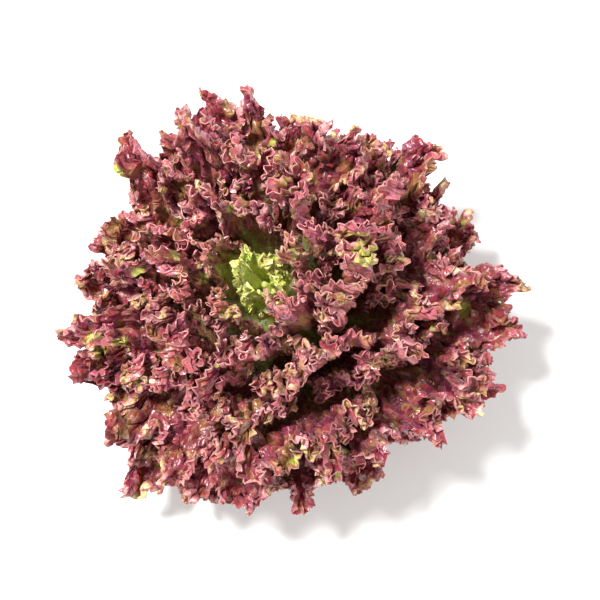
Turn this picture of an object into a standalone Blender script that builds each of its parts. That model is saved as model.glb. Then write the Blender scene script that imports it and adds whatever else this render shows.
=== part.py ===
"""Lollo rosso lettuce head: a cut stem that carries a spiral of frilled leaves round a small heart.

Units are metres, +Z is up, and the origin is the middle of the stem's cut face, on which the head stands.

Every leaf is a sheet in one nest of shells. A shell number runs from 0, the lowest and outermost, to 1, the
innermost, and gives a curve from the stem to the dome that the leaf edges make together. A leaf keeps near
its own shell and its frill sways across the shells on both sides, by less than half the way to the next
leaf, so that leaves never cross, however deep the frill.
"""

import math
import random
from collections import namedtuple

import bpy
import numpy as np

# The dome that the leaf edges reach.
DOME_RADIUS = 0.095
DOME_RISE = 0.080
DOME_MIDDLE_Z = 0.050
DOME_ANGLES = (math.radians(121), math.radians(8.5))
INNER_CLOSENESS = 0.5

# The stem.
STEM_FOOT_RADIUS = 0.0135
STEM_NECK_RADIUS = 0.0150
STEM_NECK_Z = 0.010
STEM_TIP_RADIUS = 0.0030
STEM_TIP_Z = 0.046
STEM_TIP_POINT = 0.0004
STEM_TAPER = 1.15
STEM_RINGS = (0.038, 0.028, 0.019)
STEM_CHAMFER = 0.0015
STEM_SIDES = 24
ROOT_HEIGHTS = (0.0065, 0.0430)
ROOT_GAP = 0.0014

# How a leaf leaves the stem and arrives at the dome: the angles that it makes with its straight chord there,
# outermost and innermost, and how far each end keeps its direction, as a share of the chord.
ROOT_TURNS = (math.radians(4), math.radians(-30))
TIP_TURNS = (math.radians(-4), math.radians(16))
ROOT_HOLD = 0.30
TIP_HOLD = 0.38

# The leaves and their spiral.
LEAF_COUNT = 44
GOLDEN_ANGLE = math.radians(137.508)
LEAF_HALF_ANGLE = math.radians(39.5)
LEAF_TURN = math.radians(1.5)
LEAF_LOOPS = (15, 6)
LEAF_REACH = (0.93, 1.07)
SEED = 7

# The frill. Sways are in steps, where one step is the shell distance from one leaf to the next. Waves along
# the edge are in radians from the leaf's middle to its side. A row is a place from root to edge, with its
# points for each loop of the frill. Four points a loop miss its crests, so the gain makes up for that.
FRILL_RISE = (0.50, 1.15)
FRILL_SWAY = 1.35
FRILL_SIZES = (0.85, 0.15)
SIZE_WAVE = 7.1
SLOW_SWAY = 0.45
SLOW_WAVE = 4.4
SIDE_SHIFT = 1.0
CALM_SHELLS = (0.80, 1.0)
CALMEST = 0.80
CALM_ENDS = 1.5
LOOP_CURL = 0.30
LOOP_WANDER = 1.1
WANDER_WAVES = (4.1, 9.2)
ROWS = ((0.0, 0.25), (0.38, 0.5), (0.72, 2), (1.0, 4))
SAMPLE_GAIN = math.sqrt(2)

# The leaf outline, as shares of the leaf's half width and length.
ROOT_WIDTH = 0.55
SIDE_SPREAD = 0.2
SIDE_LENGTH = 0.62
OUTLINE_ROUNDNESS = 0.85
EDGE_WAVE = 0.055
EDGE_WAVES = (5.3, 11.0)

# The blade. A rib is thick at the stem and runs out into the blade.
BLADE_THICKNESS = 0.0013
RIB_THICKNESS = (0.0028, 0.0006)
RIB_HALF_WIDTH = 0.28
RIB_LENGTH = 0.75

# The heart, a bud of small leaves on the tip of the stem.
HEART_LEAVES = 8
HEART_HALF_ANGLE = math.radians(42)
HEART_LOOPS = (3, 2)
HEART_SWAY = 0.34
HEART_SIDE_SHIFT = 0.5
HEART_REACH = (0.94, 1.06)
HEART_BLADE_THICKNESS = 0.0010
HEART_RIB_THICKNESS = 0.0003
HEART_CORE = (
    (0.0, 0.0920),
    (0.0013, 0.0900),
    (0.0032, 0.0700),
    (0.0040, 0.0520),
    (0.0030, 0.0470),
    (0.0, 0.0470),
)
HEART_CORE_SIDES = 12

# The uneven growth of the whole head: waves round it of (count, size, start), and the way its top leans.
SWELL = ((1, 0.050, 2.2), (2, 0.035, 0.6), (3, 0.030, 2.1), (5, 0.016, 4.0))
LIFT = ((1, 0.0035, 1.1), (2, 0.0030, 4.2), (3, 0.0030, 0.2))
LEAN = (-0.016, 0.012)
LEAN_START_Z = 0.046
GROWTH_RADII = (0.016, 0.055)

# Waves that push the leaves together in some places and apart in others, as (size in shells, count round the
# head, count from shell to shell, start). They are the same for all leaves, so leaves keep their order.
CROWDING = ((0.022, 2, 0.7, 0.5), (0.015, 3, -1.1, 2.0), (0.008, 5, 1.9, 4.1))
CROWDING_FADES = (0.04, 0.75)

# Each finish's colour and roughness.
FINISHES = {
    "outer_leaf": ((0.165, 0.050, 0.048, 1.0), 0.5),
    "inner_leaf": ((0.215, 0.062, 0.066, 1.0), 0.5),
    "heart_leaf": ((0.420, 0.480, 0.110, 1.0), 0.5),
    "stem": ((0.640, 0.660, 0.420, 1.0), 0.6),
}

# Where a nest of shells starts and ends. Each pair holds the values of its outermost and innermost shells.
Nest = namedtuple(
    "Nest",
    "root_heights root_radii dome_radius dome_rise dome_z dome_angles closeness root_turns tip_turns",
)
Leaf = namedtuple("Leaf", "nest shell step azimuth half_angle loops reach starts sway side_shift rib blade")


def between(pair, share):
    """The value at share of the way from the pair's first to its second."""
    return pair[0] + (pair[1] - pair[0]) * share


def ramp(value, low, high):
    """0 below low, 1 above high, and a smooth rise between them."""
    x = np.clip((value - low) / (high - low), 0.0, 1.0)
    return x * x * (3 - 2 * x)


def stem_radius(z):
    """The stem's radius at height z: a short barrel up to its neck, and a cone from there to the tip."""
    barrel = STEM_FOOT_RADIUS + (STEM_NECK_RADIUS - STEM_FOOT_RADIUS) * np.clip(z / STEM_NECK_Z, 0, 1)
    up = np.clip((z - STEM_NECK_Z) / (STEM_TIP_Z - STEM_NECK_Z), 0, 1)
    return barrel + (STEM_TIP_RADIUS - STEM_NECK_RADIUS) * up**STEM_TAPER


HEAD = Nest(
    root_heights=ROOT_HEIGHTS,
    root_radii=None,
    dome_radius=DOME_RADIUS,
    dome_rise=DOME_RISE,
    dome_z=DOME_MIDDLE_Z,
    dome_angles=DOME_ANGLES,
    closeness=INNER_CLOSENESS,
    root_turns=ROOT_TURNS,
    tip_turns=TIP_TURNS,
)
HEART = Nest(
    root_heights=(0.0520, 0.0860),
    root_radii=(0.0030, 0.0010),
    dome_radius=0.0088,
    dome_rise=0.0260,
    dome_z=0.0930,
    dome_angles=(math.radians(82), math.radians(28)),
    closeness=0.0,
    root_turns=(math.radians(-38), math.radians(-30)),
    tip_turns=(math.radians(18), math.radians(12)),
)


def shell_point(nest, shell, along):
    """Radius and height of a shell's curve, a cubic Bezier from the stem, at 0, to the dome, at 1."""
    root_z = between(nest.root_heights, shell)
    root_r = between(nest.root_radii, shell) if nest.root_radii else stem_radius(root_z) + ROOT_GAP
    angle = between(nest.dome_angles, shell + nest.closeness * (shell**2 - shell**3))
    tip_r = nest.dome_radius * np.sin(angle)
    tip_z = nest.dome_z + nest.dome_rise * np.cos(angle)
    chord = np.arctan2(tip_z - root_z, tip_r - root_r)
    length = np.hypot(tip_z - root_z, tip_r - root_r)
    start, end = chord + between(nest.root_turns, shell), chord + between(nest.tip_turns, shell)
    out, back = ROOT_HOLD * length, TIP_HOLD * length
    radii = (root_r, root_r + out * np.cos(start), tip_r - back * np.cos(end), tip_r)
    heights = (root_z, root_z + out * np.sin(start), tip_z - back * np.sin(end), tip_z)
    weights = ((1 - along) ** 3, 3 * along * (1 - along) ** 2, 3 * along**2 * (1 - along), along**3)
    return sum(w * r for w, r in zip(weights, radii)), sum(w * z for w, z in zip(weights, heights))


def grown(radius, z, azimuth):
    """The point in space, after the head's uneven growth, which swells, lifts and leans it as one mass."""
    share = ramp(radius, *GROWTH_RADII)
    swell = sum(size * np.sin(waves * azimuth + start) for waves, size, start in SWELL)
    lift = sum(size * np.sin(waves * azimuth + start) for waves, size, start in LIFT)
    radius = radius * (1 + share * swell)
    top = DOME_MIDDLE_Z + DOME_RISE
    lean = np.clip((z - LEAN_START_Z) / (top - LEAN_START_Z), 0, 1.2) ** 2
    x = radius * np.cos(azimuth) + LEAN[0] * lean
    y = radius * np.sin(azimuth) + LEAN[1] * lean
    return np.stack([x, y, z + share * lift * np.clip(z / top, 0, 1.2)], axis=-1)


def crowded(shell, azimuth):
    """The shell number after crowding, which fades towards the outermost and the innermost shells."""
    shift = sum(
        size * np.sin(around * azimuth + 2 * math.pi * across * shell + start)
        for size, around, across, start in CROWDING
    )
    low, high = CROWDING_FADES
    return shell + shift * ramp(shell, -low, low) * ramp(1 - shell, 0, 1 - high)


def frill_phase(leaf, s):
    """How far round its loops the frill is at s, which runs from -1 to 1 along the leaf's edge."""
    first, second, _ = leaf.starts
    wander = np.sin(WANDER_WAVES[0] * s + first) + 0.6 * np.sin(WANDER_WAVES[1] * s + second)
    return math.pi * leaf.loops * (s + 1) + LOOP_WANDER * wander * ramp(1 - np.abs(s), 0.0, 0.3)


def edge_samples(leaf, per_loop):
    """Places along the leaf's edge: its two ends and this many in each loop, alike from loop to loop."""
    fine = np.linspace(-1, 1, 801)
    count = max(2, round(leaf.loops * per_loop))
    phases = (np.arange(count) + 0.5) / count * 2 * math.pi * leaf.loops
    return np.concatenate([[-1.0], np.interp(phases, frill_phase(leaf, fine), fine), [1.0]])


def leaf_point(leaf, s, t):
    """A point of the leaf's sheet. t runs from the root, at 0, to the frilled edge, at 1."""
    first, second, third = leaf.starts
    phase = frill_phase(leaf, s)
    frill = ramp(t, *FRILL_RISE) / ramp(1.0, *FRILL_RISE)
    frill = frill * ramp(1 - np.abs(s), 0, CALM_ENDS / leaf.loops)
    curl = leaf.sway**2 * LOOP_CURL / leaf.loops * frill**2
    s_curled = s - curl * np.sin(2 * phase)
    fall = np.clip(np.cos(math.pi / 2 * s_curled), 0, 1) ** OUTLINE_ROUNDNESS
    across = s_curled * (ROOT_WIDTH * (1 - t) + (1 + SIDE_SPREAD * (1 - s_curled**2)) * t)
    wave = np.sin(EDGE_WAVES[0] * s + first) + 0.5 * np.sin(EDGE_WAVES[1] * s + third)
    reach = leaf.reach * (1 + EDGE_WAVE * wave * t**2)
    along = (SIDE_LENGTH + (1 - SIDE_LENGTH) * fall) * t * (1 + (reach - 1) * t)
    size = FRILL_SIZES[0] + FRILL_SIZES[1] * np.sin(SIZE_WAVE * s + second)
    sway = FRILL_SWAY * size * frill * np.sin(phase) * SAMPLE_GAIN
    sway = sway + SLOW_SWAY * ramp(t, 0.2, 1.0) * np.sin(SLOW_WAVE * s + third)
    azimuth = leaf.azimuth + leaf.half_angle * across
    shell = leaf.shell + leaf.step * (leaf.sway * sway - leaf.side_shift * across)
    if leaf.nest is HEAD:
        shell = shell + (crowded(shell, azimuth) - shell) * along
    return grown(*shell_point(leaf.nest, shell, along), azimuth)


def zip_rows(low, high):
    """Triangles between two rows of (place along the row, vertex), which may differ in how many they hold."""
    faces, i, j = [], 0, 0
    while i < len(low) - 1 or j < len(high) - 1:
        step_low = j == len(high) - 1 or (i < len(low) - 1 and low[i + 1][0] <= high[j + 1][0])
        third = low[i + 1] if step_low else high[j + 1]
        faces.append((low[i][1], third[1], high[j][1]))
        i, j = (i + 1, j) if step_low else (i, j + 1)
    return faces


def leaf_sheet(leaf):
    """Points, triangles and rib shares of a leaf, whose rows have more points nearer the edge."""
    points, faces, ribs, previous = [], [], [], None
    for t, per_loop in ROWS:
        places = edge_samples(leaf, per_loop)
        first = len(points)
        points.extend(leaf_point(leaf, places, np.full(len(places), t)))
        ribs.extend(np.exp(-((places / RIB_HALF_WIDTH) ** 2)) * max(0.0, 1 - t / RIB_LENGTH))
        row = [(place, first + k) for k, place in enumerate(places)]
        if previous:
            faces.extend(zip_rows(previous, row))
        previous = row
    return points, faces, ribs


def material(name):
    colour, roughness = FINISHES[name]
    made = bpy.data.materials.new(name)
    made.use_nodes = True
    shader = made.node_tree.nodes["Principled BSDF"]
    shader.inputs["Base Color"].default_value = colour
    shader.inputs["Roughness"].default_value = roughness
    shader.inputs["Metallic"].default_value = 0.0
    return made


def leaf_object(name, leaf, collection, finish):
    """A leaf: its open sheet made solid, with the rib thickest at the stem."""
    points, faces, ribs = leaf_sheet(leaf)
    mesh = bpy.data.meshes.new(name)
    mesh.from_pydata([tuple(p) for p in points], [], faces)
    mesh.materials.append(finish)
    made = bpy.data.objects.new(name, mesh)
    collection.objects.link(made)
    group = made.vertex_groups.new(name="thickness")
    thickest = leaf.blade + leaf.rib
    for index, rib in enumerate(ribs):
        group.add([index], (leaf.blade + leaf.rib * rib) / thickest, "REPLACE")
    solid = made.modifiers.new("blade thickness", "SOLIDIFY")
    solid.thickness = thickest
    solid.offset = 0.0
    solid.use_quality_normals = True
    solid.vertex_group = group.name
    solid.thickness_vertex_group = 0.0
    return made


def draw_starts(draw):
    """Where the leaf's three kinds of waves start."""
    return tuple(draw.uniform(0, 2 * math.pi) for _ in range(3))


def head_leaf(index, draw):
    """The leaf with this number in the spiral, counted from the lowest."""
    step = 1 / (LEAF_COUNT - 1)
    shell = index * step
    calm = between((1, CALMEST), float(ramp(shell, *CALM_SHELLS)))
    return Leaf(
        nest=HEAD,
        shell=shell,
        step=step,
        azimuth=index * GOLDEN_ANGLE + draw.uniform(-LEAF_TURN, LEAF_TURN),
        half_angle=LEAF_HALF_ANGLE,
        loops=round(between(LEAF_LOOPS, shell**1.5)),
        reach=draw.uniform(*LEAF_REACH),
        starts=draw_starts(draw),
        sway=calm,
        side_shift=SIDE_SHIFT * calm,
        rib=between(RIB_THICKNESS, shell),
        blade=BLADE_THICKNESS,
    )


def heart_leaf(index, draw):
    """A small leaf of the bud at the middle of the head."""
    step = 1 / (HEART_LEAVES - 1)
    return Leaf(
        nest=HEART,
        shell=index * step,
        step=step,
        azimuth=(LEAF_COUNT + index) * GOLDEN_ANGLE,
        half_angle=HEART_HALF_ANGLE,
        loops=round(between(HEART_LOOPS, index * step)),
        reach=draw.uniform(*HEART_REACH),
        starts=draw_starts(draw),
        sway=HEART_SWAY,
        side_shift=HEART_SIDE_SHIFT,
        rib=HEART_RIB_THICKNESS,
        blade=HEART_BLADE_THICKNESS,
    )


def turned(name, profile, sides, collection, finish):
    """A closed turned shape, from a profile of (radius, height) that runs down from the axis to the axis."""
    mesh = bpy.data.meshes.new(name)
    points = [(radius, 0.0, z) for radius, z in profile]
    mesh.from_pydata(points, [(k, k + 1) for k in range(len(points) - 1)], [])
    mesh.materials.append(finish)
    made = bpy.data.objects.new(name, mesh)
    collection.objects.link(made)
    screw = made.modifiers.new("turn", "SCREW")
    screw.steps = screw.render_steps = sides
    screw.use_merge_vertices = True
    screw.merge_threshold = 0.00005
    screw.use_smooth_shade = True
    return made


def stem_object(collection, finish):
    """The stem, turned from its tip down to the cut face."""
    heights = (STEM_TIP_Z, *STEM_RINGS, STEM_NECK_Z, STEM_CHAMFER)
    side = [(float(stem_radius(z)), z) for z in heights]
    tip = [(0.0, STEM_TIP_Z + STEM_TIP_POINT)]
    foot = [(STEM_FOOT_RADIUS - STEM_CHAMFER, 0.0), (0.0, 0.0)]
    return turned("stem", tip + side + foot, STEM_SIDES, collection, finish)


def evaluated_mesh(obj):
    """A new mesh of the object with its modifiers applied."""
    graph = bpy.context.evaluated_depsgraph_get()
    return bpy.data.meshes.new_from_object(obj.evaluated_get(graph), depsgraph=graph)


def heart_object(draw, collection, pieces, finish):
    """The heart: a slim core and its small leaves, joined in one body."""
    core = turned("heart_core", HEART_CORE, HEART_CORE_SIDES, pieces, finish)
    for index in range(HEART_LEAVES):
        leaf_object(f"heart_leaf_{index}", heart_leaf(index, draw), pieces, finish)
    bpy.context.view_layer.update()
    made = bpy.data.objects.new("heart", evaluated_mesh(core))
    for vertex in made.data.vertices:
        x, y, z = vertex.co
        vertex.co = grown(math.hypot(x, y), z, math.atan2(y, x))
    collection.objects.link(made)
    bpy.data.objects.remove(core)
    join = made.modifiers.new("join the heart leaves", "BOOLEAN")
    join.operation = "UNION"
    join.operand_type = "COLLECTION"
    join.collection = pieces
    join.solver = "MANIFOLD"
    bpy.context.view_layer.update()
    joined = evaluated_mesh(made)
    made.modifiers.clear()
    made.data = joined
    for piece in list(pieces.objects):
        bpy.data.objects.remove(piece)
    bpy.data.collections.remove(pieces)
    return made


def main():
    for obj in list(bpy.data.objects):
        bpy.data.objects.remove(obj)
    scene = bpy.context.scene.collection
    head = bpy.data.collections.new("lollo rosso head")
    pieces = bpy.data.collections.new("heart pieces")
    scene.children.link(head)
    scene.children.link(pieces)
    draw = random.Random(SEED)
    outer, inner = material("outer_leaf"), material("inner_leaf")
    stem_object(head, material("stem"))
    for index in range(LEAF_COUNT):
        finish = outer if index < LEAF_COUNT // 2 else inner
        leaf_object(f"leaf_{index + 1:02d}", head_leaf(index, draw), head, finish)
    heart_object(draw, head, pieces, material("heart_leaf"))


main()
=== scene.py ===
"""The looks of the lollo rosso head: finely crisped leaves, the lime heart and the cut stem.

Units are metres and +Z is up. Each fine leaf follows the same shape rules as the plain leaf that it stands
for, at a finer pitch, so it lies where that leaf lies. A node tree then crimps, blisters and notches its
frilled edge, and the blade gets its thickness last. The head stands on a pale floor in soft light.
"""

import math
import random
from collections import namedtuple

import bpy
import numpy as np
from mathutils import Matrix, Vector


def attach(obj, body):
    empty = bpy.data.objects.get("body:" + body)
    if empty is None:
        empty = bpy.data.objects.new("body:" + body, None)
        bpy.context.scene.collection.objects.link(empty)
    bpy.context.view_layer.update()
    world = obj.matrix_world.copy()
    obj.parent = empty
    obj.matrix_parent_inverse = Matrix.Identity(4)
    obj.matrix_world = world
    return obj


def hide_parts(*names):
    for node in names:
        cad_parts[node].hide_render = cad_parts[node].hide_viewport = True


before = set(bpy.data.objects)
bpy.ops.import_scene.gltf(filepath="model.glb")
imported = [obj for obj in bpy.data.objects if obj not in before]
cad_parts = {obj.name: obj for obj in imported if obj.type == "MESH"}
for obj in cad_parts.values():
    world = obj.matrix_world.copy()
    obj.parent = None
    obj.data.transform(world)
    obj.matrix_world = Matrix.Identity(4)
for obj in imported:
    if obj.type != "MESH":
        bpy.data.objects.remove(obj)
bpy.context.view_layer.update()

# The dome that the leaf edges reach, and the stem that carries them, with the plain leaves' own values.
DOME_RADIUS = 0.095
DOME_RISE = 0.080
DOME_MIDDLE_Z = 0.050
DOME_TOP_Z = DOME_MIDDLE_Z + DOME_RISE
DOME_ANGLES = (math.radians(121), math.radians(8.5))
INNER_CLOSENESS = 0.5
STEM_FOOT_RADIUS = 0.0135
STEM_NECK_RADIUS = 0.0150
STEM_NECK_Z = 0.010
STEM_TIP_RADIUS = 0.0030
STEM_TIP_Z = 0.046
STEM_TAPER = 1.15
ROOT_HEIGHTS = (0.0065, 0.0430)
ROOT_SINK = -0.0010
ROOT_TURNS = (math.radians(4), math.radians(-30))
TIP_TURNS = (math.radians(-4), math.radians(16))
ROOT_HOLD = 0.30
TIP_HOLD = 0.38

# The spiral of leaves. Pairs run from the outermost leaf to the innermost.
LEAF_COUNT = 44
GOLDEN_ANGLE = math.radians(137.508)
LEAF_HALF_ANGLE = math.radians(39.5)
LEAF_TURN = math.radians(1.5)
LEAF_LOOPS = (15, 6)
LOOPS_EASE = 1.5
LEAF_REACH = (0.93, 1.07)
YOUNG_LEAVES = 3
SEED = 7

# The frill. Sways are in steps, where one step is the shell distance from one leaf to the next. Waves along
# the edge are in radians from the leaf's middle to its side. A drift is how many waves there are to a loop.
FRILL_RISE = (0.32, 1.02)
FRILL_SWAY = 1.90
FRILL_SIZES = (0.85, 0.15)
SIZE_WAVE = 7.1
SIZE_DRIFT = 0.61
LOOP_UNEVENNESS = 0.25
HALF_SWAY = 0.25
SLOW_SWAY = 0.45
SLOW_WAVE = 4.4
SLOW_START = 0.2
SIDE_SHIFT = 1.0
CALM_SHELLS = (0.80, 1.0)
CALMEST = 0.80
CALM_ENDS = 1.5
LOOP_CURL = 0.34
LOOP_WANDER = 1.1
WANDER_WAVES = (4.1, 9.2)
WANDER_FADE = 0.3

# Lobes of the edge, each a few loops wide, and the folds just inside the edge. A fold turn has its radians
# from root to edge and from the leaf's middle to its side.
LOBE_DRIFT = 0.43
LOBE_DEPTH = 0.085
LOBE_SIZES = (0.75, 0.25)
LOBE_SPREAD = 3.1
LOBE_SWAY = 0.30
FOLD_BAND = (0.01, 0.09)
FOLD_WANDER = 1.5
FOLD_TURNS = ((58.0, 9.0), (41.0, -17.0))
FOLD_LUMPS = 0.50
FOLD_LUMP_WAVE = 66.0
ROLL_BACK = 0.030
ROLL_START = 0.70
ROLL_WANDER = 0.6

# The leaf outline, as shares of the leaf's half width and length.
ROOT_WIDTH = 0.55
SIDE_SPREAD = 0.2
SIDE_LENGTH = 0.62
OUTLINE_ROUNDNESS = 0.85
EDGE_WAVE = 0.055
EDGE_WAVES = (5.3, 11.0)

# Where two waves go together, the second one has this share of the first.
SECOND_WANDER = 0.6
SECOND_FOLD = 0.6
SECOND_EDGE_WAVE = 0.5

# Rows of points from root to edge: places from and to, how many rows, and points for each loop.
ROW_BANDS = (
    (0.00, 0.40, 3, 3),
    (0.46, 0.62, 4, 10),
    (0.65, 0.93, 15, 14),
    (0.944, 1.00, 5, 34),
)

# Fine steps along the edge, in all and for each loop, and the step that shows which way the edge lies.
EDGE_STEPS = 1601
LENGTH_STEPS = 64
LOOK_AHEAD = 0.01

# The blade. A rib is thick at the stem and runs out into the blade. In the margin, the outer part of the
# leaf, the blade thins and the crisping grows.
BLADE_THICKNESS = 0.0006
EDGE_THINNING = 0.35
MARGIN_RISE = (0.45, 1.0)
RIB_THICKNESS = (0.0034, 0.0010)
RIB_HALF_WIDTH = 0.28
RIB_LENGTH = 0.75

# The heart, a bud of small leaves on the tip of the stem. Its core is a profile of radius and height.
HEART_LEAVES = 8
HEART_HALF_ANGLE = math.radians(42)
HEART_LOOPS = (3, 2)
HEART_SWAY = 0.34
HEART_SIDE_SHIFT = 0.5
HEART_REACH = (0.94, 1.06)
HEART_RIB_THICKNESS = 0.0003
HEART_CORE = (
    (0.0, 0.0920),
    (0.0013, 0.0900),
    (0.0032, 0.0700),
    (0.0040, 0.0520),
    (0.0030, 0.0470),
    (0.0, 0.0470),
)
CORE_SIDES = 24
CORE_MERGE = 0.00005

# The uneven growth of the whole head. Each wave round it has a number of turns, a size and a start.
SWELL = ((1, 0.050, 2.2), (2, 0.035, 0.6), (3, 0.030, 2.1), (5, 0.016, 4.0))
LIFT = ((1, 0.0035, 1.1), (2, 0.0030, 4.2), (3, 0.0030, 0.2))
LEAN = (-0.016, 0.012)
LEAN_START_Z = 0.046
GROWTH_RADII = (0.016, 0.055)
GROWTH_LIMIT = 1.2

# The waves that crowd the leaves: size in shells, turns round the head, turns across the shells, and start.
CROWDING = ((0.022, 2, 0.7, 0.5), (0.015, 3, -1.1, 2.0), (0.008, 5, 1.9, 4.1))
CROWDING_FADES = (0.04, 0.75)

# A nest is the family of shells that leaves lie on, from the outermost, at 0, to the innermost, at 1.
Nest = namedtuple(
    "Nest",
    "root_heights root_radii dome_radius dome_rise dome_z dome_angles closeness root_turns tip_turns",
)
Leaf = namedtuple("Leaf", "nest shell step azimuth half_angle loops reach starts sway side_shift rib blade")

HEAD = Nest(
    root_heights=ROOT_HEIGHTS,
    root_radii=None,
    dome_radius=DOME_RADIUS,
    dome_rise=DOME_RISE,
    dome_z=DOME_MIDDLE_Z,
    dome_angles=DOME_ANGLES,
    closeness=INNER_CLOSENESS,
    root_turns=ROOT_TURNS,
    tip_turns=TIP_TURNS,
)
HEART = Nest(
    root_heights=(0.0520, 0.0860),
    root_radii=(0.0030, 0.0010),
    dome_radius=0.0088,
    dome_rise=0.0260,
    dome_z=0.0930,
    dome_angles=(math.radians(82), math.radians(28)),
    closeness=0.0,
    root_turns=(math.radians(-38), math.radians(-30)),
    tip_turns=(math.radians(18), math.radians(12)),
)


# Shape rules of the leaves


def between(pair, share):
    """The value at share of the way from the pair's first to its second."""
    return pair[0] + (pair[1] - pair[0]) * share


def ramp(value, low, high):
    """0 below low, 1 above high, and a smooth rise between them."""
    x = np.clip((value - low) / (high - low), 0.0, 1.0)
    return x * x * (3 - 2 * x)


def swelling(angle):
    """A wave that runs from 0 to 1 and back."""
    return 0.5 + 0.5 * np.sin(angle)


def stem_radius(z):
    """The stem's radius at height z: a short barrel up to its neck, and a cone from there to the tip."""
    barrel = STEM_FOOT_RADIUS + (STEM_NECK_RADIUS - STEM_FOOT_RADIUS) * np.clip(z / STEM_NECK_Z, 0, 1)
    up = np.clip((z - STEM_NECK_Z) / (STEM_TIP_Z - STEM_NECK_Z), 0, 1)
    return barrel + (STEM_TIP_RADIUS - STEM_NECK_RADIUS) * up**STEM_TAPER


def shell_point(nest, shell, along):
    """Radius and height of a shell's curve, a cubic Bezier from the stem, at 0, to the dome, at 1."""
    root_z = between(nest.root_heights, shell)
    root_r = between(nest.root_radii, shell) if nest.root_radii else stem_radius(root_z) + ROOT_SINK
    angle = between(nest.dome_angles, shell + nest.closeness * (shell**2 - shell**3))
    tip_r = nest.dome_radius * np.sin(angle)
    tip_z = nest.dome_z + nest.dome_rise * np.cos(angle)
    chord = np.arctan2(tip_z - root_z, tip_r - root_r)
    length = np.hypot(tip_z - root_z, tip_r - root_r)
    start, end = chord + between(nest.root_turns, shell), chord + between(nest.tip_turns, shell)
    out, back = ROOT_HOLD * length, TIP_HOLD * length
    radii = (root_r, root_r + out * np.cos(start), tip_r - back * np.cos(end), tip_r)
    heights = (root_z, root_z + out * np.sin(start), tip_z - back * np.sin(end), tip_z)
    weights = ((1 - along) ** 3, 3 * along * (1 - along) ** 2, 3 * along**2 * (1 - along), along**3)
    return sum(w * r for w, r in zip(weights, radii)), sum(w * z for w, z in zip(weights, heights))


def grown(radius, z, azimuth):
    """The point in space, after the head's uneven growth, which swells, lifts and leans it as one mass."""
    share = ramp(radius, *GROWTH_RADII)
    swell = sum(size * np.sin(turns * azimuth + start) for turns, size, start in SWELL)
    lift = sum(size * np.sin(turns * azimuth + start) for turns, size, start in LIFT)
    radius = radius * (1 + share * swell)
    lean = np.clip((z - LEAN_START_Z) / (DOME_TOP_Z - LEAN_START_Z), 0, GROWTH_LIMIT) ** 2
    x = radius * np.cos(azimuth) + LEAN[0] * lean
    y = radius * np.sin(azimuth) + LEAN[1] * lean
    return np.stack([x, y, z + share * lift * np.clip(z / DOME_TOP_Z, 0, GROWTH_LIMIT)], axis=-1)


def crowded(shell, azimuth):
    """The shell number after crowding, which fades towards the outermost and the innermost shells."""
    shift = sum(
        size * np.sin(around * azimuth + 2 * math.pi * across * shell + start)
        for size, around, across, start in CROWDING
    )
    low, high = CROWDING_FADES
    return shell + shift * ramp(shell, -low, low) * ramp(1 - shell, 0, 1 - high)


def frill_phase(leaf, s):
    """How far round its loops the frill is at s, which runs from -1 to 1 along the leaf's edge."""
    first, second, _ = leaf.starts
    wander = np.sin(WANDER_WAVES[0] * s + first) + SECOND_WANDER * np.sin(WANDER_WAVES[1] * s + second)
    return math.pi * leaf.loops * (s + 1) + LOOP_WANDER * wander * ramp(1 - np.abs(s), 0.0, WANDER_FADE)


def frill_growth(leaf, s, t):
    """How much of the frill there is at s and t: all along the edge, none at its two ends and the root."""
    growth = ramp(t, *FRILL_RISE) / ramp(1.0, *FRILL_RISE)
    return growth * ramp(1 - np.abs(s), 0, CALM_ENDS / leaf.loops)


def folded(leaf, s, t, phase, frill):
    """The frill's phase and growth after the folds inside the edge, which wander and swell."""
    first, second, third = leaf.starts
    inside = ramp(1 - t, *FOLD_BAND)
    (up_one, round_one), (up_two, round_two) = FOLD_TURNS
    turn = np.sin(up_one * t + round_one * s + second)
    turn = turn + SECOND_FOLD * np.sin(up_two * t + round_two * s + third)
    lump = swelling(FOLD_LUMP_WAVE * t + phase / 2 + first)
    return phase + FOLD_WANDER * inside * turn, frill * (1 - FOLD_LUMPS * inside * lump)


def edge_reach(leaf, s, t, lobe):
    """How far the leaf reaches towards the dome, as a share, with its waves and its lobes."""
    first, _, third = leaf.starts
    wave = np.sin(EDGE_WAVES[0] * s + first) + SECOND_EDGE_WAVE * np.sin(EDGE_WAVES[1] * s + third)
    depth = LOBE_DEPTH * (1 + lobe) * (LOBE_SIZES[0] + LOBE_SIZES[1] * np.sin(LOBE_SPREAD * s + first))
    return leaf.reach * (1 + EDGE_WAVE * wave * t**2) - depth * t**2


def frill_sway(leaf, s, t, phase, frill, lobe):
    """How many steps the frill sways across the shells."""
    first, second, third = leaf.starts
    size = FRILL_SIZES[0] + FRILL_SIZES[1] * np.sin(SIZE_WAVE * s + second)
    size = size * (1 - LOOP_UNEVENNESS * swelling(SIZE_DRIFT * phase + third))
    sway = FRILL_SWAY * size * frill * np.sin(phase)
    sway = sway + frill * (HALF_SWAY * np.sin(phase / 2 + first) + LOBE_SWAY * lobe)
    return sway + SLOW_SWAY * ramp(t, SLOW_START, 1.0) * np.sin(SLOW_WAVE * s + third)


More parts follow.
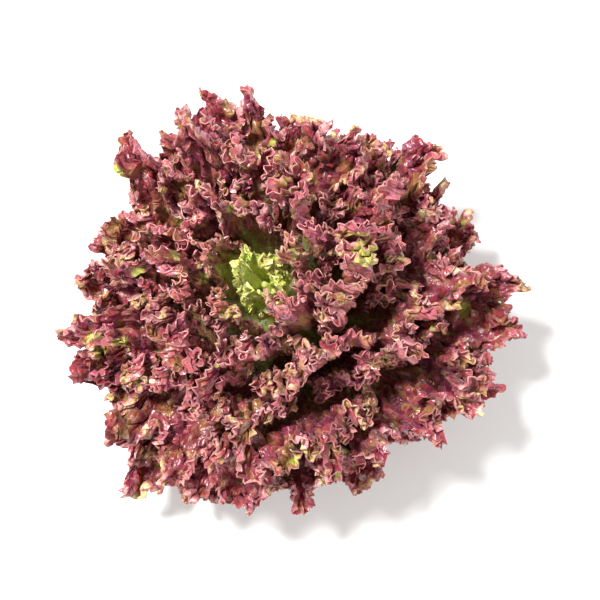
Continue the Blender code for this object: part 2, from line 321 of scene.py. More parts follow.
def leaf_point(leaf, s, t):
    """A point of the leaf's sheet. t runs from the root, at 0, to the frilled edge, at 1."""
    _, second, third = leaf.starts
    phase, frill = folded(leaf, s, t, frill_phase(leaf, s), frill_growth(leaf, s, t))
    lobe = np.sin(LOBE_DRIFT * phase + second)
    curl = leaf.sway**2 * LOOP_CURL / leaf.loops * frill**2
    s_curled = s - curl * np.sin(2 * phase)
    across = s_curled * (ROOT_WIDTH * (1 - t) + (1 + SIDE_SPREAD * (1 - s_curled**2)) * t)
    fall = np.clip(np.cos(math.pi / 2 * s_curled), 0, 1) ** OUTLINE_ROUNDNESS
    rolled = np.cos(phase + ROLL_WANDER * np.sin(phase / 2 + third))
    rolled = ROLL_BACK * frill * ramp(t, ROLL_START, 1.0) * rolled
    reach = edge_reach(leaf, s, t, lobe)
    along = (SIDE_LENGTH + (1 - SIDE_LENGTH) * fall) * t * (1 + (reach - 1) * t) - rolled
    sway = frill_sway(leaf, s, t, phase, frill, lobe)
    azimuth = leaf.azimuth + leaf.half_angle * across
    shell = leaf.shell + leaf.step * (leaf.sway * sway - leaf.side_shift * across)
    if leaf.nest is HEAD:
        shell = shell + (crowded(shell, azimuth) - shell) * along
    return grown(*shell_point(leaf.nest, shell, along), azimuth)


def draw_starts(draw):
    """Where the leaf's three kinds of waves start."""
    return tuple(draw.uniform(0, 2 * math.pi) for _ in range(3))


def head_leaf(index, draw):
    """The leaf with this number in the spiral, counted from the lowest."""
    step = 1 / (LEAF_COUNT - 1)
    shell = index * step
    calm = between((1, CALMEST), float(ramp(shell, *CALM_SHELLS)))
    return Leaf(
        nest=HEAD,
        shell=shell,
        step=step,
        azimuth=index * GOLDEN_ANGLE + draw.uniform(-LEAF_TURN, LEAF_TURN),
        half_angle=LEAF_HALF_ANGLE,
        loops=round(between(LEAF_LOOPS, shell**LOOPS_EASE)),
        reach=draw.uniform(*LEAF_REACH),
        starts=draw_starts(draw),
        sway=calm,
        side_shift=SIDE_SHIFT * calm,
        rib=between(RIB_THICKNESS, shell),
        blade=BLADE_THICKNESS,
    )


def heart_leaf(index, draw):
    """A small leaf of the bud at the middle of the head."""
    step = 1 / (HEART_LEAVES - 1)
    return Leaf(
        nest=HEART,
        shell=index * step,
        step=step,
        azimuth=(LEAF_COUNT + index) * GOLDEN_ANGLE,
        half_angle=HEART_HALF_ANGLE,
        loops=round(between(HEART_LOOPS, index * step)),
        reach=draw.uniform(*HEART_REACH),
        starts=draw_starts(draw),
        sway=HEART_SWAY,
        side_shift=HEART_SIDE_SHIFT,
        rib=HEART_RIB_THICKNESS,
        blade=BLADE_THICKNESS,
    )


# Meshes


def row_places():
    """The places of all rows from root to edge, each with its points for one loop."""
    return [
        (float(t), per_loop)
        for low, high, rows, per_loop in ROW_BANDS
        for t in np.linspace(low, high, rows)
    ]


def edge_samples(leaf, per_loop):
    """Places along the leaf's edge: its two ends and this many in each loop, alike from loop to loop."""
    fine = np.linspace(-1, 1, EDGE_STEPS)
    count = max(2, round(leaf.loops * per_loop))
    phases = (np.arange(count) + 0.5) / count * 2 * math.pi * leaf.loops
    return np.concatenate([[-1.0], np.interp(phases, frill_phase(leaf, fine), fine), [1.0]])


def edge_lengths(leaf, places):
    """How far along its real, frilled edge the leaf is at each place, in metres."""
    fine = np.linspace(-1, 1, leaf.loops * LENGTH_STEPS)
    points = leaf_point(leaf, fine, np.ones_like(fine))
    steps = np.linalg.norm(np.diff(points, axis=0), axis=1)
    return np.interp(places, fine, np.concatenate([[0.0], np.cumsum(steps)]))


def zip_rows(low, high):
    """Triangles between two rows of (place along the row, vertex), which differ in how many they hold."""
    faces, i, j = [], 0, 0
    while i < len(low) - 1 or j < len(high) - 1:
        step_low = j == len(high) - 1 or (i < len(low) - 1 and low[i + 1][0] <= high[j + 1][0])
        third = low[i + 1] if step_low else high[j + 1]
        faces.append((low[i][1], third[1], high[j][1]))
        i, j = (i + 1, j) if step_low else (i, j + 1)
    return faces


def row_faces(low, high):
    """Faces between two rows: squares where they have as many points, or else triangles."""
    if len(low) != len(high):
        return zip_rows(low, high)
    return [(low[i][1], low[i + 1][1], high[i + 1][1], high[i][1]) for i in range(len(low) - 1)]


def row_values(leaf, t, places):
    """The points of one row, and what each of them knows of the leaf."""
    here = np.full(len(places), t)
    points = leaf_point(leaf, places, here)
    ahead = leaf_point(leaf, places, here + LOOK_AHEAD)
    edge = leaf_point(leaf, places, np.ones_like(here))
    return {
        "points": points,
        "outward": (ahead - points) / np.linalg.norm(ahead - points, axis=1)[:, None],
        "edge_distance": np.linalg.norm(edge - points, axis=1),
        "edge_length": edge_lengths(leaf, places),
        "margin": np.full(len(places), ramp(t, *MARGIN_RISE)),
        "rib": np.exp(-((places / RIB_HALF_WIDTH) ** 2)) * max(0.0, 1 - t / RIB_LENGTH),
    }


def leaf_rows(leaf):
    """The values of all rows as whole columns, and the faces between the rows."""
    columns, faces, previous, first = [], [], None, 0
    for t, per_loop in row_places():
        places = edge_samples(leaf, per_loop)
        columns.append(row_values(leaf, t, places))
        row = [(place, first + k) for k, place in enumerate(places)]
        first += len(row)
        if previous:
            faces.extend(row_faces(previous, row))
        previous = row
    return {key: np.concatenate([column[key] for column in columns]) for key in columns[0]}, faces


def set_values(mesh, name, values):
    """Stores one number or one vector for each vertex under this name."""
    kind, field = ("FLOAT", "value") if values.ndim == 1 else ("FLOAT_VECTOR", "vector")
    stored = mesh.attributes.new(name, kind, "POINT")
    stored.data.foreach_set(field, np.ascontiguousarray(values, dtype=np.float32).ravel())


def add_object(name, data):
    """A new object in the scene with this mesh, light or camera."""
    made = bpy.data.objects.new(name, data)
    bpy.context.scene.collection.objects.link(made)
    return made


def leaf_sheet(name, leaf, finishes):
    """The leaf as an open sheet that knows where its edge and rib are, and how thick it is to be."""
    rows, faces = leaf_rows(leaf)
    mesh = bpy.data.meshes.new(name)
    mesh.from_pydata(rows.pop("points").tolist(), [], faces)
    for key, values in rows.items():
        set_values(mesh, key, values)
    for finish in finishes:
        mesh.materials.append(finish)
    made = add_object(name, mesh)
    thinned = 1 - EDGE_THINNING * rows["margin"]
    share = (leaf.blade * thinned + leaf.rib * rows["rib"]) / (leaf.blade + leaf.rib)
    group = made.vertex_groups.new(name="thickness")
    for index, weight in enumerate(share.tolist()):
        group.add([index], weight, "REPLACE")
    return made


# Node trees

# Noise runs from 0 to 1 round this value.
NOISE_MIDDLE = 0.5


def node(tree, kind, inputs=None, **settings):
    """Adds a node to the tree. An input takes another node's output or a plain value."""
    made = tree.nodes.new(kind)
    for key, value in settings.items():
        setattr(made, key, value)
    for key, value in (inputs or {}).items():
        if isinstance(value, bpy.types.NodeSocket):
            tree.links.new(value, made.inputs[key])
        else:
            made.inputs[key].default_value = value
    return made


def calculate(tree, operation, a, b=0.0):
    """The result of one sum on two numbers."""
    return node(tree, "ShaderNodeMath", {0: a, 1: b}, operation=operation).outputs[0]


def plus(tree, a, b):
    """Two numbers added."""
    return calculate(tree, "ADD", a, b)


def times(tree, a, b):
    """Two numbers multiplied."""
    return calculate(tree, "MULTIPLY", a, b)


def centred(tree, noise, spread):
    """The noise moved to run round 0, over this spread."""
    return times(tree, calculate(tree, "SUBTRACT", noise, NOISE_MIDDLE), spread)


def calculate_vector(tree, operation, a, b):
    """The result of one sum on two vectors."""
    return node(tree, "ShaderNodeVectorMath", {0: a, 1: b}, operation=operation).outputs[0]


def scaled(tree, vector, factor):
    """The vector times a number."""
    return node(tree, "ShaderNodeVectorMath", {0: vector, "Scale": factor}, operation="SCALE").outputs[0]


def step_between(tree, value, low, high):
    """0 at low, 1 at high, smooth between. Low may be the larger of the two."""
    limits = {"Value": value, "From Min": low, "From Max": high}
    return node(tree, "ShaderNodeMapRange", limits, interpolation_type="SMOOTHSTEP").outputs[0]


# The crisping of leaf edges, in metres. These are the named inputs of its node tree.
CRISPING = {
    "Crimp Height": 0.0013,
    "Crimp Length": 0.0046,
    "Blister Height": 0.0065,
    "Blister Size": 0.008,
    "Tooth Length": 0.0031,
    "Notch Depth": 0.0014,
    "Growth Height": 0.0085,
    "Growth Size": 0.022,
    "Seed": 0.0,
}
HEART_CRISPING = {"Blister Height": 0.0095, "Blister Size": 0.0055, "Crimp Height": 0.0016}
HEART_SEED = 100.0

# How steeply crimps, blisters and notches grow towards the edge, as powers of the margin.
CRIMP_POWER = 4.0
BLISTER_POWER = 0.5
NOTCH_POWER = 16.0

# The uneven beat of crimps and teeth: its lumps in metres, and its spread in radians.
CRIMP_JITTER_SIZE = 0.012
TOOTH_JITTER_SIZE = 0.007
JITTER = 14.0

# Growth starts at the first distance from this point of the stem and is full at the second.
GROWTH_CENTRE = (0, 0, 0.03)
GROWTH_DISTANCES = (0.025, 0.060)


def stored_value(tree, name, kind="FLOAT"):
    """What each point of the sheet knows under this name."""
    return node(tree, "GeometryNodeInputNamedAttribute", {"Name": name}, data_type=kind).outputs[0]


def noise_in_space(tree, size, seed, output="Fac"):
    """Noise with lumps of this size, from 0 to 1 or as a vector."""
    place = node(tree, "GeometryNodeInputPosition").outputs[0]
    inputs = {"Vector": place, "W": seed, "Scale": calculate(tree, "DIVIDE", 1.0, size), "Detail": 1.0}
    return node(tree, "ShaderNodeTexNoise", inputs, noise_dimensions="4D").outputs[output]


def wave_along_edge(tree, length, jitter_size, seed):
    """A sine along the frilled edge, with one wave to each length and an uneven beat."""
    turns = calculate(tree, "DIVIDE", stored_value(tree, "edge_length"), length)
    jitter = times(tree, noise_in_space(tree, jitter_size, seed), JITTER)
    return calculate(tree, "SINE", plus(tree, times(tree, turns, 2 * math.pi), jitter))


def crimp_shift(tree, entry, margin):
    """Small crimps and blisters, which stand across the sheet and grow towards its edge."""
    wave = wave_along_edge(tree, entry["Crimp Length"], CRIMP_JITTER_SIZE, entry["Seed"])
    height = times(tree, calculate(tree, "POWER", margin, CRIMP_POWER), entry["Crimp Height"])
    rise = times(tree, calculate(tree, "POWER", margin, BLISTER_POWER), entry["Blister Height"])
    blisters = centred(tree, noise_in_space(tree, entry["Blister Size"], entry["Seed"]), rise)
    normal = node(tree, "GeometryNodeInputNormal").outputs[0]
    return scaled(tree, normal, plus(tree, times(tree, wave, height), blisters))


def notch_shift(tree, entry, margin):
    """Notches between small teeth, cut back into the edge."""
    wave = wave_along_edge(tree, entry["Tooth Length"], TOOTH_JITTER_SIZE, entry["Seed"])
    depth = times(tree, calculate(tree, "POWER", margin, NOTCH_POWER), entry["Notch Depth"])
    cut = times(tree, plus(tree, wave, 1.0), times(tree, depth, -0.5))
    return scaled(tree, stored_value(tree, "outward", "FLOAT_VECTOR"), cut)


def growth_shift(tree, entry):
    """Uneven growth of the whole head, the same field for all leaves, so that they keep their order."""
    noise = noise_in_space(tree, entry["Growth Size"], 0.0, "Color")
    direction = calculate_vector(tree, "SUBTRACT", noise, (NOISE_MIDDLE,) * 3)
    place = node(tree, "GeometryNodeInputPosition").outputs[0]
    reach = node(tree, "ShaderNodeVectorMath", {0: place, 1: GROWTH_CENTRE}, operation="DISTANCE")
    growth = step_between(tree, reach.outputs["Value"], *GROWTH_DISTANCES)
    return scaled(tree, direction, times(tree, growth, entry["Growth Height"]))


def crisping_tree():
    """The node tree that crisps a leaf: crimps and blisters across the sheet, notches along its edge."""
    tree = bpy.data.node_groups.new("crisped leaf edge", "GeometryNodeTree")
    sockets = tree.interface
    sockets.new_socket("Geometry", in_out="INPUT", socket_type="NodeSocketGeometry")
    for name, value in CRISPING.items():
        sockets.new_socket(name, in_out="INPUT", socket_type="NodeSocketFloat").default_value = value
    sockets.new_socket("Finish", in_out="INPUT", socket_type="NodeSocketMaterial")
    sockets.new_socket("Geometry", in_out="OUTPUT", socket_type="NodeSocketGeometry")
    entry = tree.nodes.new("NodeGroupInput").outputs
    margin = stored_value(tree, "margin")
    shift = crimp_shift(tree, entry, margin)
    shift = calculate_vector(tree, "ADD", shift, notch_shift(tree, entry, margin))
    shift = calculate_vector(tree, "ADD", shift, growth_shift(tree, entry))
    moved = node(tree, "GeometryNodeSetPosition", {"Geometry": entry["Geometry"], "Offset": shift})
    real = node(tree, "GeometryNodeRealizeInstances", {"Geometry": moved.outputs[0]})
    finish = {"Geometry": real.outputs[0], "Material": entry["Finish"]}
    done = node(tree, "GeometryNodeSetMaterial", finish)
    node(tree, "NodeGroupOutput", {"Geometry": done.outputs[0]})
    return tree


# Modifiers

SHARP_ANGLE = math.radians(75)


def crisp(piece, tree, seed, **changes):
    """Runs the crisping tree on the sheet, with values other than its own where given."""
    modifier = piece.modifiers.new("crisped edge", "NODES")
    modifier.node_group = tree
    sockets = {item.name: item.identifier for item in tree.interface.items_tree if item.in_out == "INPUT"}
    for name, value in {**changes, "Seed": seed}.items():
        modifier[sockets[name]] = value
    modifier[sockets["Finish"]] = piece.data.materials[0]


def thicken(piece, thickest):
    """Gives the sheet its thickness. Its other face and its rim take the second and the third finish."""
    solid = piece.modifiers.new("blade thickness", "SOLIDIFY")
    solid.thickness = thickest
    solid.offset = 0.0
    solid.use_quality_normals = True
    solid.vertex_group = "thickness"
    solid.thickness_vertex_group = 0.0
    solid.material_offset = 1
    solid.material_offset_rim = 2


def crisped_leaf(name, leaf, finishes, tree, seed, **changes):
    """One fine leaf, whose crisping and thickness are still modifiers."""
    piece = leaf_sheet(name, leaf, finishes)
    crisp(piece, tree, seed, **changes)
    thicken(piece, leaf.blade + leaf.rib)
    return piece


def make_plain(pieces):
    """Turns the pieces into plain smooth meshes, with what their modifiers made."""
    bpy.context.view_layer.update()
    graph = bpy.context.evaluated_depsgraph_get()
    finished = [piece.evaluated_get(graph) for piece in pieces]
    meshes = [bpy.data.meshes.new_from_object(piece, depsgraph=graph) for piece in finished]
    for piece, mesh in zip(pieces, meshes):
        piece.modifiers.clear()
        piece.vertex_groups.clear()
        piece.data = mesh
        mesh.shade_smooth()
        mesh.set_sharp_from_angle(angle=SHARP_ANGLE)


# Finishes

# The patterns on a leaf, in lumps for each metre.
BROAD_LUMPS = 45.0
GREEN_LUMPS = 70.0
TONE_LUMPS = 120.0
RIM_LUMPS = 150.0
FINE_LUMPS = 330.0
GRAIN_LUMPS = 620.0

# How far broad and fine lumps move the colours between edge and root, as shares of a skin's depth.
BROAD_SHIFT = 0.9
FINE_SHIFT = 0.5

# Pairs run from where a pattern has none of its strength to where it has all of it.
TINT_DEPTHS = (0.95, 0.45)
FIRST_TINT_TONES = (0.53, 0.66)
SECOND_TINT_TONES = (0.46, 0.35)
# Where the painted highlight colour, which the veins share, turns yellow.
YELLOW_HIGHLIGHT_AND_VEIN_TONES = (0.50, 0.60)
# How close to the edge, and in which patches, the painted highlight lies.
HIGHLIGHT_DISTANCES = (0.0045, 0.0004)
HIGHLIGHT_FINE_LUMPS = (0.38, 0.60)
HIGHLIGHT_BROAD_LUMPS = (0.40, 0.58)
RIB_FADE = (0.25, 0.7)
RIM_PATCHES = (0.40, 0.60)

# Where green patches begin on the noise, and how soft they are. The noise never reaches NO_GREEN.
GREEN_START = 0.67
GREEN_FADE = 0.08
NO_GREEN = 2.0

# A net of fine veins, in cells and bends for each metre. They stand out below a leaf and lie sunk above it.
VEIN_CELLS = 190.0
VEIN_BENDS = 110.0
VEIN_BEND_SIZE = 0.012
VEIN_WIDTH = (0.16, 0.0)
VEIN_PALENESS = 0.10
RAISED_VEINS = 0.5
SUNK_VEINS = -0.7

# The gloss of a leaf and the height of its grain.
LEAF_ROUGHNESS = (0.26, 0.46)
LEAF_GLOSS = {
    "Specular IOR Level": 0.80,
    "Sheen Roughness": 0.35,
    "Sheen Tint": (1.0, 0.84, 0.82, 1.0),
    "Subsurface Weight": 0.2,
    "Subsurface Radius": (1.0, 0.35, 0.25),
    "Subsurface Scale": 0.0015,
}
RED_SHEEN = 0.10
YOUNG_SHEEN = 0.14
LIME_SHEEN = 0.10
LEAF_RELIEF = 0.55
RELIEF_HEIGHT = 0.0008
RIM_ROUGHNESS = 0.4

# Colours that several skins share. The yellow is a painted highlight that the veins also pale towards. The
# mauve rim is pale as a painted highlight, and the rims' darker patches have this share of their colour.
YELLOW_HIGHLIGHT_AND_VEIN = (0.740, 0.600, 0.260, 1.0)
GREEN_PATCH = (0.46, 0.47, 0.09, 1.0)
PALE_RIB = (0.74, 0.77, 0.40, 1.0)
MAUVE_RIM_HIGHLIGHT = (0.510, 0.190, 0.180, 1.0)
LIME_RIM = (0.55, 0.50, 0.16, 1.0)
DARKER_RIM = 0.45

# A skin's colours run over its depth from the frilled edge, at 0, to the pale root, at 1. Two tints vary
# them. The last colour is a painted highlight that the edge fades to in patches, and the veins pale towards
# it.
Skin = namedtuple("Skin", "colours depth tints lip sheen green_start vein_height")

RED_UNDERSIDE = Skin(
    colours=(
        (0.00, (0.430, 0.102, 0.118, 1.0)),
        (0.35, (0.305, 0.056, 0.067, 1.0)),
        (0.60, (0.330, 0.180, 0.085, 1.0)),
        (0.85, (0.400, 0.430, 0.120, 1.0)),
        (1.00, (0.580, 0.650, 0.240, 1.0)),
    ),
    depth=0.062,
    tints=((0.425, 0.195, 0.085, 1.0), (0.390, 0.076, 0.140, 1.0)),
    lip=(0.700, 0.370, 0.350, 1.0),
    sheen=RED_SHEEN,
    green_start=GREEN_START,
    vein_height=RAISED_VEINS,
)
RED_UPPER_SIDE = RED_UNDERSIDE._replace(
    colours=(
        (0.00, (0.270, 0.036, 0.046, 1.0)),
        (0.35, (0.170, 0.018, 0.024, 1.0)),
        (0.60, (0.230, 0.070, 0.030, 1.0)),
        (0.85, (0.300, 0.310, 0.070, 1.0)),
        (1.00, (0.500, 0.560, 0.170, 1.0)),
    ),
    depth=0.066,
    tints=((0.240, 0.098, 0.032, 1.0), (0.170, 0.014, 0.044, 1.0)),
    vein_height=SUNK_VEINS,
)
YOUNG_UNDERSIDE = Skin(
    colours=(
        (0.00, (0.400, 0.110, 0.090, 1.0)),
        (0.22, (0.330, 0.130, 0.060, 1.0)),
        (0.48, (0.360, 0.400, 0.060, 1.0)),
        (1.00, (0.560, 0.640, 0.160, 1.0)),
    ),
    depth=0.070,
    tints=((0.480, 0.440, 0.100, 1.0), (0.300, 0.070, 0.060, 1.0)),
    lip=(0.620, 0.330, 0.200, 1.0),
    sheen=YOUNG_SHEEN,
    green_start=GREEN_START,
    vein_height=RAISED_VEINS,
)
YOUNG_UPPER_SIDE = YOUNG_UNDERSIDE._replace(depth=0.060, vein_height=SUNK_VEINS)
LIME = Skin(
    colours=(
        (0.00, (0.700, 0.620, 0.160, 1.0)),
        (0.15, (0.700, 0.780, 0.120, 1.0)),
        (0.60, (0.740, 0.840, 0.160, 1.0)),
        (1.00, (0.780, 0.850, 0.380, 1.0)),
    ),
    depth=0.040,
    tints=((0.800, 0.860, 0.240, 1.0), (0.560, 0.720, 0.100, 1.0)),
    lip=(0.820, 0.820, 0.300, 1.0),
    sheen=LIME_SHEEN,
    green_start=NO_GREEN,
    vein_height=RAISED_VEINS,
)

# The stem: lumps for each metre, and distances from the middle of its cut face and above it.
STEM_GRAIN_LUMPS = 260.0
STEM_SKIN_LUMPS = 60.0
BROWNED_LUMPS = 190.0
BROWNED_DETAIL = 4.0
BROWNED_PATCHES = (0.42, 0.68)
CUT_WOBBLE = 0.0030
RING_RADIUS = 0.0104
RING_WIDTH = (0.0016, 0.0002)
CUT_RIM_RADII = (0.0128, 0.0150)
CUT_HEIGHTS = (0.0022, 0.0004)
STEM_RELIEF = 0.4
STEM_ROUGHNESS = 0.55
STEM_SKIN = ((0.52, 0.58, 0.28, 1.0), (0.74, 0.72, 0.50, 1.0))
CUT_FACE = ((0.74, 0.68, 0.42, 1.0), (0.50, 0.32, 0.15, 1.0))
CUT_RING = (0.44, 0.27, 0.12, 1.0)
CUT_RIM = (0.38, 0.21, 0.10, 1.0)


def new_finish(name, settings):
    """A material, its tree and its shader, with these settings on the shader's own sockets."""
    made = bpy.data.materials.new(name)
    made.use_nodes = True
    shader = made.node_tree.nodes["Principled BSDF"]
    for socket, value in settings.items():
        shader.inputs[socket].default_value = value
    return made, made.node_tree, shader


def piece_place(tree):
    """Where a point of the piece is, in metres."""
    return node(tree, "ShaderNodeTexCoord").outputs["Object"]


def attribute(tree, name):
    """What the leaf's points know under this name."""
    return node(tree, "ShaderNodeAttribute", attribute_name=name).outputs["Fac"]


def lumpy(tree, place, lumps, detail=2.0, output="Fac"):
    """Noise with this many lumps for each metre, as a number or a colour."""
    inputs = {"Vector": place, "Scale": lumps, "Detail": detail}
    return node(tree, "ShaderNodeTexNoise", inputs).outputs[output]


def mixed(tree, share, first, second):
    """A colour between two."""
    made = node(tree, "ShaderNodeMix", {0: share}, data_type="RGBA")
    for socket, value in ((made.inputs[6], first), (made.inputs[7], second)):
        if isinstance(value, bpy.types.NodeSocket):
            tree.links.new(value, socket)
        else:
            socket.default_value = value
    return made.outputs[2]


def colour_ramp(tree, share, stops):
    """The colour at this share of the way along the stops, which are pairs of place and colour."""
    made = node(tree, "ShaderNodeValToRGB", {"Fac": share})
    line = made.color_ramp
    while len(line.elements) < len(stops):
        line.elements.new(0.5)
    for element, (place, colour) in zip(line.elements, stops):
        element.position = place
        element.color = colour
    return made.outputs["Color"]


def add_relief(tree, shader, height, strength):
    """Bumps on the surface, where height is a pattern from 0 to 1."""
    bump = node(tree, "ShaderNodeBump", {"Height": height, "Strength": strength, "Distance": RELIEF_HEIGHT})
    tree.links.new(bump.outputs[0], shader.inputs["Normal"])


def vein_lines(tree, place):
    """A net of fine veins: 1 on a vein, 0 between them."""
    bend = scaled(tree, lumpy(tree, place, VEIN_BENDS, 1.0, "Color"), VEIN_BEND_SIZE)
    inputs = {"Vector": calculate_vector(tree, "ADD", place, bend), "Scale": VEIN_CELLS}
    cells = node(tree, "ShaderNodeTexVoronoi", inputs, feature="DISTANCE_TO_EDGE")
    return step_between(tree, cells.outputs["Distance"], *VEIN_WIDTH)


def skin_colour(tree, skin, place, broad, fine):
    """The skin's colours with their tints, and the colour of its painted highlight, which the veins also
    take.
    """
    depth = calculate(tree, "DIVIDE", attribute(tree, "edge_distance"), skin.depth)
    depth = plus(tree, depth, centred(tree, broad, BROAD_SHIFT))
    depth = plus(tree, depth, centred(tree, fine, FINE_SHIFT))
    tone = lumpy(tree, place, TONE_LUMPS)
    strength = step_between(tree, depth, *TINT_DEPTHS)
    colour = colour_ramp(tree, depth, skin.colours)
    for tint, tones in zip(skin.tints, (FIRST_TINT_TONES, SECOND_TINT_TONES)):
        colour = mixed(tree, times(tree, step_between(tree, tone, *tones), strength), colour, tint)
    # The painted highlight colour, yellow in patches; the veins pale towards it too.
    lip = mixed(tree, step_between(tree, tone, *YELLOW_HIGHLIGHT_AND_VEIN_TONES), skin.lip, YELLOW_HIGHLIGHT_AND_VEIN)
    return colour, lip


def painted_edge_highlight(tree, broad, fine):
    """Where a painted highlight lies on the leaf: close to the edge, in patches."""
    near = step_between(tree, attribute(tree, "edge_distance"), *HIGHLIGHT_DISTANCES)
    near = times(tree, near, step_between(tree, fine, *HIGHLIGHT_FINE_LUMPS))
    return times(tree, near, step_between(tree, broad, *HIGHLIGHT_BROAD_LUMPS))


def leaf_finish(name, skin):
    """One side of a leaf, from its tinted edge to its pale rib, with its veins, its grain and a painted
    highlight in patches along the edge.
    """
    made, tree, shader = new_finish(name, {**LEAF_GLOSS, "Sheen Weight": skin.sheen})
    place = piece_place(tree)
    broad = lumpy(tree, place, BROAD_LUMPS)
    fine = lumpy(tree, place, FINE_LUMPS)
    veins = vein_lines(tree, place)
    colour, lip = skin_colour(tree, skin, place, broad, fine)
    # Painted highlight: the edge fades in patches to a paler colour.
    colour = mixed(tree, painted_edge_highlight(tree, broad, fine), colour, lip)
    green = lumpy(tree, place, GREEN_LUMPS, 1.0)
    green = step_between(tree, green, skin.green_start, skin.green_start + GREEN_FADE)
    colour = mixed(tree, green, colour, GREEN_PATCH)
    # The veins pale a little towards the painted highlight colour.
    colour = mixed(tree, times(tree, veins, VEIN_PALENESS), colour, lip)
    colour = mixed(tree, step_between(tree, attribute(tree, "rib"), *RIB_FADE), colour, PALE_RIB)
    tree.links.new(colour, shader.inputs["Base Color"])
    low, high = LEAF_ROUGHNESS
    rough = node(tree, "ShaderNodeMapRange", {"Value": fine, "To Min": low, "To Max": high})
    tree.links.new(rough.outputs[0], shader.inputs["Roughness"])
    relief = plus(tree, lumpy(tree, place, GRAIN_LUMPS), times(tree, veins, skin.vein_height))
    add_relief(tree, shader, relief, LEAF_RELIEF)
    return made


def rim_finish(name, colour):
    """The cut through the blade at its edge in this colour, with darker patches. On the red leaves this
    colour is paler than the faces: a painted highlight, which the darker patches break up.
    """
    made, tree, shader = new_finish(name, {"Roughness": RIM_ROUGHNESS})
    darker = tuple(DARKER_RIM * part for part in colour[:3]) + (1.0,)
    patches = step_between(tree, lumpy(tree, piece_place(tree), RIM_LUMPS), *RIM_PATCHES)
    tree.links.new(mixed(tree, patches, darker, colour), shader.inputs["Base Color"])
    return made


def stem_finish():
    """The pale stem, with a browned cut face that has one ring and a darker rim."""
    made, tree, shader = new_finish("pale cut stem", {"Roughness": STEM_ROUGHNESS})
    place = piece_place(tree)
    parts = node(tree, "ShaderNodeSeparateXYZ", {0: place}).outputs
    flat = node(tree, "ShaderNodeCombineXYZ", {0: parts[0], 1: parts[1]}).outputs[0]
    radius = node(tree, "ShaderNodeVectorMath", {0: flat}, operation="LENGTH").outputs["Value"]
    grain = lumpy(tree, place, STEM_GRAIN_LUMPS)
    wobbly = plus(tree, radius, times(tree, grain, CUT_WOBBLE))
    from_ring = calculate(tree, "ABSOLUTE", calculate(tree, "SUBTRACT", wobbly, RING_RADIUS))
    browned = step_between(tree, lumpy(tree, place, BROWNED_LUMPS, BROWNED_DETAIL), *BROWNED_PATCHES)
    cut = mixed(tree, browned, *CUT_FACE)
    cut = mixed(tree, step_between(tree, from_ring, *RING_WIDTH), cut, CUT_RING)
    cut = mixed(tree, step_between(tree, wobbly, *CUT_RIM_RADII), cut, CUT_RIM)
    skin = mixed(tree, lumpy(tree, place, STEM_SKIN_LUMPS), *STEM_SKIN)
    colour = mixed(tree, step_between(tree, parts[2], *CUT_HEIGHTS), skin, cut)
    tree.links.new(colour, shader.inputs["Base Color"])
    add_relief(tree, shader, grain, STEM_RELIEF)
    return made


# Pieces


def place_piece(piece, replaced):
    """Attaches the piece to the root body and hides the plain node of the solids that it stands for."""
    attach(piece, "root")
    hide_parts(replaced)


def build_leaves(draw, tree):
    """The leaves of the head, each one in place of its plain leaf. The innermost are the young ones."""
    red = [
        leaf_finish("red leaf underside", RED_UNDERSIDE),
        leaf_finish("red leaf upper side", RED_UPPER_SIDE),
        # The mauve rim is paler than the faces as a painted highlight.
        rim_finish("mauve leaf rim highlight", MAUVE_RIM_HIGHLIGHT),
    ]
    young = [
        leaf_finish("young leaf underside", YOUNG_UNDERSIDE),
        leaf_finish("young leaf upper side", YOUNG_UPPER_SIDE),
        red[2],
    ]
    pieces = []
    for index in range(LEAF_COUNT):
        name = f"crisped_leaf_{index + 1:02d}"
        finishes = red if index < LEAF_COUNT - YOUNG_LEAVES else young
        pieces.append(crisped_leaf(name, head_leaf(index, draw), finishes, tree, float(index)))
    make_plain(pieces)
    for index, piece in enumerate(pieces):
        place_piece(piece, f"leaf_{index + 1:02d}")


def join_meshes(name, pieces):
    """One object with the meshes of all pieces, which are removed."""
    bpy.context.view_layer.update()
    with bpy.context.temp_override(active_object=pieces[0], selected_editable_objects=pieces):
        bpy.ops.object.join()
    pieces[0].name = name
    return pieces[0]


def heart_core(finish):
    """The bud's core, turned from its profile and grown with the head."""
    mesh = bpy.data.meshes.new("bud core")
    points = [(radius, 0.0, z) for radius, z in HEART_CORE]
    mesh.from_pydata(points, [(k, k + 1) for k in range(len(points) - 1)], [])
    mesh.materials.append(finish)
    made = add_object("bud_core", mesh)
    screw = made.modifiers.new("turn", "SCREW")
    screw.steps = screw.render_steps = CORE_SIDES
    screw.use_merge_vertices = True
    screw.merge_threshold = CORE_MERGE
    make_plain([made])
    for vertex in made.data.vertices:
        x, y, z = vertex.co
        vertex.co = grown(math.hypot(x, y), z, math.atan2(y, x))
    return made


def build_heart(draw, tree):
    """The lime heart: small crisped leaves round their core, as one piece."""
    lime = [
        leaf_finish("lime heart underside", LIME),
        leaf_finish("lime heart upper side", LIME),
        rim_finish("lime heart rim", LIME_RIM),
    ]
    pieces = []
    for index in range(HEART_LEAVES):
        leaf = heart_leaf(index, draw)
        seed = HEART_SEED + index
        pieces.append(crisped_leaf(f"heart_leaf_{index}", leaf, lime, tree, seed, **HEART_CRISPING))
    make_plain(pieces)
    heart = join_meshes("lime_heart", [heart_core(lime[0])] + pieces)
    place_piece(heart, "heart")


def build_stem():
    """The stem keeps its plain shape and takes its finish."""
    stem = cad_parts["stem"]
    stem.data.materials.clear()
    stem.data.materials.append(stem_finish())


# Floor, light and camera

FLOOR_WIDTH = 30.0
FLOOR_LOOK = {"Base Color": (0.86, 0.86, 0.85, 1.0), "Roughness": 0.8}
ROOM_COLOUR = (1.0, 1.0, 1.0, 1.0)
ROOM_STRENGTH = 0.56

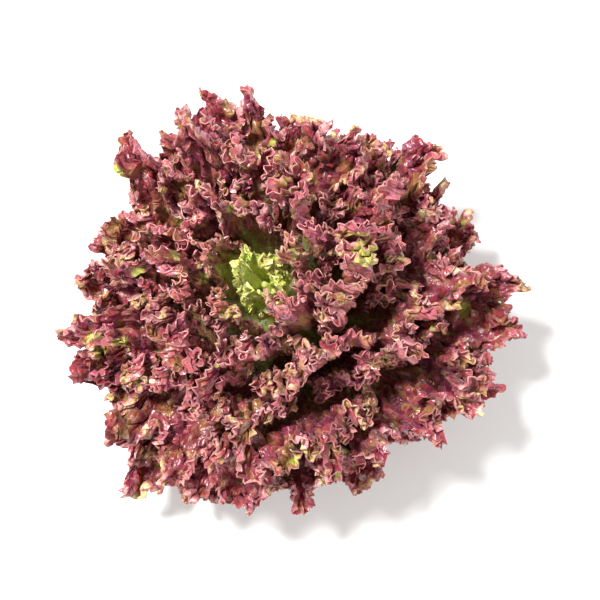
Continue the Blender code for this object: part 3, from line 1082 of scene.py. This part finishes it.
# Each lamp has a name, a place, a width and a power in watts.
LAMPS = (
    ("key", (-0.34, 0.23, 1.01), 0.22, 23.5),
    ("fill", (0.68, -0.50, 0.74), 0.70, 5.5),
)
LAMP_AIM = (0, 0, 0.06)

# The camera looks almost straight down, with the photograph's top at the top.
LENS = 85.0
CAMERA_ELEVATION = math.radians(84)
CAMERA_DISTANCE = 0.60
CAMERA_AIM = (0.010, 0.0, 0.060)


def build_floor():
    """A wide pale floor under the stem's foot."""
    bpy.ops.mesh.primitive_plane_add(size=FLOOR_WIDTH)
    floor = bpy.context.object
    floor.name = "pale_floor"
    finish, _, _ = new_finish("pale floor", FLOOR_LOOK)
    floor.data.materials.append(finish)


def add_lamp(name, place, width, power):
    """A round lamp that is turned to the head."""
    light = bpy.data.lights.new(name, "AREA")
    light.shape = "DISK"
    light.size = width
    light.energy = power
    made = add_object(name, light)
    made.location = place
    made.rotation_euler = (Vector(place) - Vector(LAMP_AIM)).to_track_quat("Z", "Y").to_euler()


def build_lights():
    """White light from all round, and the lamps."""
    world = bpy.data.worlds.new("soft studio")
    world.use_nodes = True
    room = world.node_tree.nodes["Background"]
    room.inputs["Color"].default_value = ROOM_COLOUR
    room.inputs["Strength"].default_value = ROOM_STRENGTH
    bpy.context.scene.world = world
    for lamp in LAMPS:
        add_lamp(*lamp)


def build_camera():
    """The camera at the photograph's angle."""
    camera = bpy.data.cameras.new("camera")
    camera.lens = LENS
    made = add_object("camera", camera)
    back = Vector((0.0, -math.cos(CAMERA_ELEVATION), math.sin(CAMERA_ELEVATION)))
    made.location = Vector(CAMERA_AIM) + back * CAMERA_DISTANCE
    made.rotation_euler = back.to_track_quat("Z", "Y").to_euler()
    bpy.context.scene.camera = made


def main():
    """Builds the head, its floor, its light and its camera. The leaves are drawn before the heart."""
    draw = random.Random(SEED)
    tree = crisping_tree()
    build_leaves(draw, tree)
    build_heart(draw, tree)
    build_stem()
    build_floor()
    build_lights()
    build_camera()
    bpy.context.scene.view_settings.view_transform = "Standard"


main()
